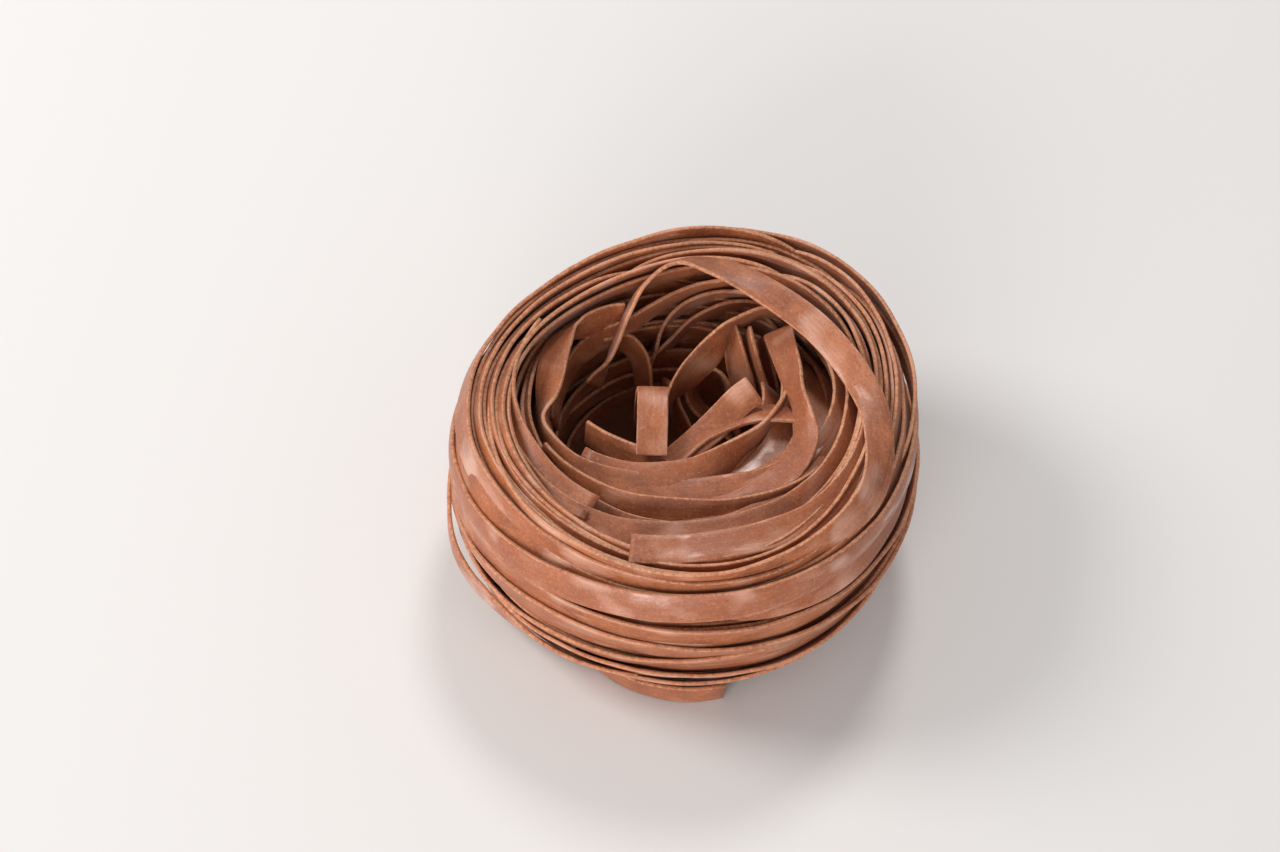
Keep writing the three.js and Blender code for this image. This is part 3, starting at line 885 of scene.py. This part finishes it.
laid = {
    # the arch that stands over the hollow and runs on as the front ridge
    "arch": lay([
        (140, 19.5, 18, -6), (132, 19.9, 20.2, 14), (126, 20.9, 22.6, 26), (118, 22.7, 26.8, 28),
        (110, 24.6, 30, 30), (98, 26.6, 32, 44), (84, 25.4, 32.6, 76), (63, 23.4, 32.7, 102),
        (42, 23.3, 32.6, 111), (20, 24.6, 32.3, 105), (-2, 27.1, 31.8, 80), (-22, 29, 31.1, 54),
        (-36, 29.3, 31, 32), (-48, 29.1, 30.4, 16), (-60, 28.9, 30, 6), (-75, 29, 29.6, -2),
        (-95, 29.2, 29.3, -5), (-118, 29, 29.1, -4), (-140, 29.6, 29.1, 4),
        (-165, 29.8, 29, 18), (-190, 29.6, 28.8, 24),
    ]),
    # the folded strand of the left side and the front lip
    "loop": lay([
        (119, 23.6, 25.5, -3), (127, 23.9, 26, -12), (136, 24, 26.5, -7), (142, 24.7, 27.2, 36),
        (150, 23.6, 27.6, 66), (162, 22, 27.4, 70), (174, 21.1, 27.2, 44), (186, 21.4, 26.9, 4),
        (196, 20.6, 26.6, 20), (208, 19, 26.3, 50), (222, 16, 26.1, 68), (240, 13, 26.2, 76),
        (266, 11.6, 26.3, 80), (298, 12, 26.4, 80), (322, 14.6, 26.7, 74), (350, 19.4, 27.4, 61),
        (378, 23.2, 27.8, 44), (410, 25, 27.4, 26),
    ]),
    # the tab bent out over the front lip
    "tab": cross([
        (-6.2, 8.5, 14, 0, 0), (-6.1, 7.2, 24, 0, 3), (-5.8, 4.8, 28.2, -4, 8),
        (-5.4, 0.3, 28.7, -3, 6), (-5.2, -3.9, 27.6, 1, 3), (-5.1, -6, 26.8, 4, 2),
    ]),
    # the strand that crosses the back right of the hollow
    "back_crossing": cross([
        (-4.4, 10.4, 12, -95, 62), (-3.3, 11.6, 17, -105, 60), (-0.6, 13.8, 21, -181, 50),
        (1.6, 15.4, 23.5, -192, 41), (3.1, 17.1, 25, -176, 60), (5.4, 19.8, 26.2, -124, 65),
        (9.9, 22.4, 27, -101, 70), (14.4, 21.4, 26.9, -110, 68), (19, 17, 26.6, -140, 66),
        (21.6, 11, 26.2, -165, 64),
    ]),
    # the strand that falls from the back right and swings round the front
    "falling_strand": cross([
        (11.9, 19.4, 26.3, -4, 30), (12.7, 15.6, 27.8, -14, 38), (14.2, 9.8, 28.8, -28, 46),
        (15.4, 5.2, 29.2, -50, 54), (16.3, 1.4, 29.2, -40, 42), (16.8, -2, 28.9, -36, 26),
        (15.4, -6.2, 28.5, -40, 10), (12.4, -10, 27.9, -48, 2), (8, -13.6, 27.1, -60, 2),
        (1.5, -15.8, 26.2, -84, 0), (-6, -16, 25.2, -105, 0), (-14, -13.4, 23.6, -130, 0),
    ]),
    # the strand that makes the hollow's lip at the front, on edge at the right
    "inner_lip": lay([
        (60, 22, 23.2, 4), (46, 19.6, 23.8, 4), (33, 16.6, 24.8, 2), (21, 13.8, 25.8, -2),
        (7, 11.4, 26.6, -2), (-18, 8.6, 27.1, 8), (-48, 7.8, 27.1, 36), (-78, 8.4, 27, 64),
        (-108, 10, 26.7, 76), (-134, 13.2, 26.2, 72), (-155, 17, 25.6, 60),
    ]),
    # the strands that lie under it at the right
    "lip_strand_a": lay([
        (50, 20.6, 24.4, 40), (24, 16.4, 25.3, 68), (0, 13.6, 25.2, 84), (-24, 11.8, 25, 90),
        (-50, 11.1, 24.9, 88), (-80, 11.6, 24.8, 84), (-105, 12.6, 24.6, 80),
    ]),
    "lip_strand_b": lay([
        (46, 16.6, 21.4, 40), (20, 12.6, 22.8, 64), (-6, 10, 23.8, 80), (-34, 8.6, 24.1, 86),
        (-64, 8.7, 24.1, 84), (-96, 10, 24, 78),
    ]),
    # the cut tip that points to the back right
    "cut_tip": cross([
        (-3.5, -6.5, 23.6, 132, 4), (1.7, -1.5, 25.9, 134, 8), (4.6, 1.5, 27.2, 140, 16),
        (7, 4.3, 28.3, 143, 18), (9, 6, 28.9, 146, 18),
    ]),
    # the strand under the tip
    "strand_under_tip": cross([
        (-3, -5.5, 23.8, 106, -24), (1.6, -0.8, 25.6, 103, -18), (4.6, 1.2, 26.3, 98, -18),
        (8, 2.7, 26.8, 88, -18), (12, 3.4, 27, 84, -22), (18, 3.6, 26.6, 70, -30),
    ]),
    # the cut end beside the tab
    "end_beside_tab": lay([
        (184, 14.9, 24.6, 12), (192, 13, 24.8, 14), (206, 10.4, 24.9, 24), (228, 8.4, 24.9, 44),
        (262, 8.4, 24, 70),
    ]),
    # the turn with its cut end at the front left
    "front_left_end": lay([
        (150, 27, 29.6, 8), (172, 26.9, 29.7, 18), (192, 25.8, 29.7, 42), (212, 24.2, 29.6, 72),
        (235, 22.1, 29.5, 92),
    ]),
    # the turn with its cut end at the front
    "front_end": lay([
        (255, 26.2, 31, 84), (268, 24.9, 31, 84), (284, 24, 31, 84), (301, 24.4, 31, 80),
        (319, 25.4, 30.9, 70), (340, 25.9, 30.7, 52), (360, 26.2, 30.1, 38),
        (378, 26.6, 28.3, 24), (394, 26.8, 26, 14),
    ]),
    # the turn behind it
    "front_band": lay([
        (200, 26.6, 28, 30), (220, 25.6, 28.5, 54), (242, 23.6, 28.8, 70), (262, 21.6, 28.9, 76),
        (286, 20.6, 28.9, 76), (312, 21.2, 29, 65), (340, 22.4, 29, 48), (366, 23.8, 28.5, 34),
        (386, 25.2, 26.8, 22), (400, 26, 24.6, 14),
    ]),
    # the turn on edge between the lip and the front band
    "nested_band": lay([
        (200, 22.4, 27.2, 26), (232, 18.3, 26.9, 35), (266, 15.8, 26.8, 39),
        (300, 16.8, 27, 36), (338, 21.2, 27.4, 28),
    ]),
    # the curl on the left of the hollow
    "left_curl": cross([
        (-14.4, 18.2, 20.4, -6, 66), (-11, 20, 19.8, -8, 64), (-8.6, 18.7, 18, -21, 59),
        (-7.7, 17, 15.4, -33, 58), (-7.4, 15.4, 12, -48, 56), (-7.6, 13.4, 7, -60, 56),
    ]),
    # the strand that sweeps up the back of the hollow
    "back_sweep": lay([
        (110, 21.4, 12, 30), (106, 22.8, 16, 28), (102, 24.2, 19.6, 22), (95, 25.6, 22.5, 20),
        (84, 27, 24.2, 22), (68, 27.8, 25, 24),
    ]),
    # the strand along the back left
    "back_left_strand": lay([
        (168, 20.4, 18.6, -10), (143, 23.2, 20.2, -12), (131, 23.4, 21.5, -9), (117, 23, 23, 3),
        (98, 25.6, 25, 15), (80, 28.2, 26.2, 20),
    ]),
    # the strand along the back right
    "back_strand": lay([
        (108, 21.8, 14.5, 22), (99, 23.2, 17.2, 20), (90, 25, 20.2, 14), (78, 26.6, 23, 17),
        (60, 27, 24.8, 20),
    ]),
    # the strands that hang at the right of the hollow
    "hanging_strand_a": cross([
        (4.6, 20.2, 24.6, -36, 62), (5.6, 17.2, 24, -23, 56), (6.5, 15.2, 22, -19, 50),
        (7.5, 14.2, 19, -24, 51), (8.4, 13.2, 13, -31, 52),
    ]),
    "hanging_strand_b": cross([
        (7.3, 19.4, 25, -62, 48), (8.4, 16.4, 24.2, -64, 47), (9.5, 14.5, 22, -62, 43),
        (10.8, 13.1, 19.4, -61, 43), (12.4, 11.8, 14, -59, 47),
    ]),
    "hanging_strand_c": cross([
        (9.6, 20.4, 23, -66, 44), (10.6, 18.2, 21.4, -66, 44), (11.6, 16, 19, -64, 43),
        (12.8, 13.6, 15, -60, 46), (14, 11, 10, -58, 48),
    ]),
    # the small curl low in the hollow
    "ring_curl": cross([
        (7, 12, 9, -60, 46), (5.7, 15.2, 15.2, -68, 46), (4.7, 16.4, 17, -75, 50),
        (3.1, 17, 17.9, -98, 64), (0.9, 16.8, 17.2, -120, 58), (-0.1, 15.6, 14.6, -120, 41),
        (1.1, 14, 12.8, -112, 31), (4, 12.6, 11.4, -98, 32), (8, 11, 8, -90, 36),
    ]),
    # the strand deep under the crossing one
    "deep_curl": cross([
        (-3.6, 15.4, 17, -56, 38), (-2.8, 13.8, 14.6, -52, 37), (-1.6, 12.2, 12.3, -45, 38),
        (0.4, 9.6, 9, -43, 42),
    ]),
    # the stray end at the foot
    "stray_end": lay([
        (232, 26.6, 3, -24), (248, 28.6, 2.6, -16), (260, 30.1, 2.5, -11),
        (273, 30.8, 2.45, -8), (286, 30.7, 2.45, -8),
    ]),
    # the slack turns that stand off the wall
    "slack_left": lay([
        (262, 30.8, 6.8, -40), (240, 32.1, 6.5, -34), (223, 33.2, 7, -16), (216, 33.8, 7.3, -8),
        (209, 34.8, 8.2, -4), (202, 35.5, 9.8, -2), (195, 35.4, 12.4, 0), (186, 34.6, 16.5, 2),
        (174, 33.4, 21, 6),
    ]),
    "slack_back": lay([
        (100, 33.2, 28.8, 6), (80, 35.5, 28.6, 6), (60, 37.1, 28.4, 8), (40, 36.2, 28.2, 10),
        (20, 34.3, 27.4, 6), (2, 32.2, 26.2, 6), (-14, 30.4, 25, 8),
    ]),
}

for name, stations in laid.items():
    add_piece(name, [stations], pasta, behind)


# ---- the packed core

def add_packed_core():
    """Adds the core behind the deepest turns, hollowed like the nest: a closed band of
    rings with a disc at the bottom and one at the hollow's floor."""
    def behind_wall(height):
        return lambda angle: (wall_radius(angle, height) - CORE_DEPTH, max(height, CORE_BASE))

    def under_rim(angle):
        return ridge_radius(angle) - CORE_RIM_DEPTH, around(RIM_HEIGHT, angle) - CORE_RIM_DROP

    def under_funnel(share):
        def ring(angle):
            radius, height, lean = funnel(angle, share)
            upright = math.cos(math.radians(lean))
            return radius, height - CORE_FUNNEL_DROP - CORE_UPRIGHT_DROP * upright

        return ring

    def behind_pit(share):
        def ring(angle):
            top = around(LIP_HEIGHT, angle) - CORE_LIP_DROP
            height = top * (1 - share) + (PIT_FLOOR - CORE_FLOOR_DROP) * share
            return pit_radius(angle, height) + CORE_PIT_DEPTH, height

        return ring

    rings = [behind_wall(height) for height in CORE_HEIGHTS]
    rings.append(under_rim)
    rings += [under_funnel(share) for share in CORE_FUNNEL_SHARES]
    rings += [behind_pit(share) for share in CORE_PIT_SHARES]

    mesh = bmesh.new()
    bmesh.ops.create_circle(mesh, cap_ends=True, segments=CORE_SIDES, radius=1)
    edges = mesh.edges[:]
    layers = [mesh.verts[:]]
    for _ in rings[1:]:
        grown = bmesh.ops.extrude_edge_only(mesh, edges=edges)["geom"]
        edges = [part for part in grown if isinstance(part, bmesh.types.BMEdge)]
        layers.append([part for part in grown if isinstance(part, bmesh.types.BMVert)])
    bmesh.ops.contextual_create(mesh, geom=edges)
    for layer, ring in zip(layers, rings):
        for vert in layer:
            angle = math.atan2(vert.co.y, vert.co.x)
            radius, height = ring(angle)
            vert.co = Vector((radius * math.cos(angle), radius * math.sin(angle), height)) * MM
    bmesh.ops.recalc_face_normals(mesh, faces=mesh.faces)
    store_piece("packed_core", mesh, packed)


add_packed_core()


# ---- the floor, the light and the camera

# how far the floor reaches each way, and the place that the lights are aimed at; both are in
# metres, as are the lights' own places and widths
FLOOR_REACH = 2.5
LIGHTS_AIM = (0, 0, 0.015)


def lay_floor():
    """A pale, matt floor under the nest, wider than the frame."""
    mesh = bmesh.new()
    bmesh.ops.create_grid(mesh, x_segments=1, y_segments=1, size=FLOOR_REACH)
    stored = bpy.data.meshes.new("floor")
    mesh.to_mesh(stored)
    mesh.free()
    floor = bpy.data.objects.new("floor", stored)
    bpy.context.collection.objects.link(floor)
    material, nodes, _ = new_material("pale floor")
    set_inputs(nodes["Principled BSDF"], {"Base Color": (*OFF_WHITE, 1), "Roughness": 0.9})
    stored.materials.append(material)


def soft_light(name, place, width, power, colour):
    """A round light aimed at the nest's middle."""
    light = bpy.data.lights.new(name, "AREA")
    light.shape = "DISK"
    light.size = width
    light.energy = power
    light.color = colour
    lamp = bpy.data.objects.new(name, light)
    lamp.location = place
    aim = Vector(LIGHTS_AIM) - Vector(place)
    lamp.rotation_euler = aim.to_track_quat("-Z", "Y").to_euler()
    bpy.context.collection.objects.link(lamp)


def set_studio():
    """Even daylight, with a window at the left, a low fill from the front and a high window
    at the back."""
    lay_floor()
    world = bpy.data.worlds.new("studio")
    world.use_nodes = True
    set_inputs(
        world.node_tree.nodes["Background"],
        {"Color": (*DAYLIGHT, 1), "Strength": DAYLIGHT_STRENGTH},
    )
    bpy.context.scene.world = world
    soft_light(
        "window", place=(-0.62, 0.1, 0.52), width=0.34, power=3.7, colour=(1, 0.975, 0.95),
    )
    soft_light(
        "front fill", place=(-0.2, -0.75, 0.14), width=0.6, power=6.6, colour=(1, 0.97, 0.95),
    )
    soft_light(
        "high window", place=(0.03, 0.5, 0.7), width=0.2, power=2.5, colour=(1, 0.98, 0.96),
    )
    bpy.context.scene.view_settings.view_transform = "Standard"


# The frame is 1280 by 852 pixels, and the nest's middle, 17 mm up, falls a little right of
# and below its centre.
FRAME_WIDTH = 1280
FRAME_HEIGHT = 852
NEST_ACROSS = 686
NEST_DOWN = 465
CAMERA_RISE = 54
CAMERA_ROLL = 5
CAMERA_DISTANCE = 440
PIXELS_A_MM = 6.75
SENSOR = 36


def set_camera():
    """A camera that looks down at the nest from the front, rolled a little."""
    rise = math.radians(CAMERA_RISE)
    roll = math.radians(CAMERA_ROLL)
    back = Vector((0, -math.cos(rise), math.sin(rise)))
    level = Vector((1, 0, 0))
    upright = back.cross(level)
    right = level * math.cos(roll) + upright * math.sin(roll)
    up = back.cross(right)
    place = (Vector((0, 0, BULGE_HEIGHT)) + back * CAMERA_DISTANCE) * MM
    lens = bpy.data.cameras.new("camera")
    lens.sensor_width = SENSOR
    lens.lens = PIXELS_A_MM * CAMERA_DISTANCE / FRAME_WIDTH * SENSOR
    lens.shift_x = (FRAME_WIDTH / 2 - NEST_ACROSS) / FRAME_WIDTH
    lens.shift_y = (NEST_DOWN - FRAME_HEIGHT / 2) / FRAME_WIDTH
    lens.clip_start = 0.01
    viewer = bpy.data.objects.new("camera", lens)
    turned = Matrix((right, up, back)).transposed().to_4x4()
    viewer.matrix_world = Matrix.Translation(place) @ turned
    bpy.context.collection.objects.link(viewer)
    bpy.context.scene.camera = viewer


set_studio()
set_camera()
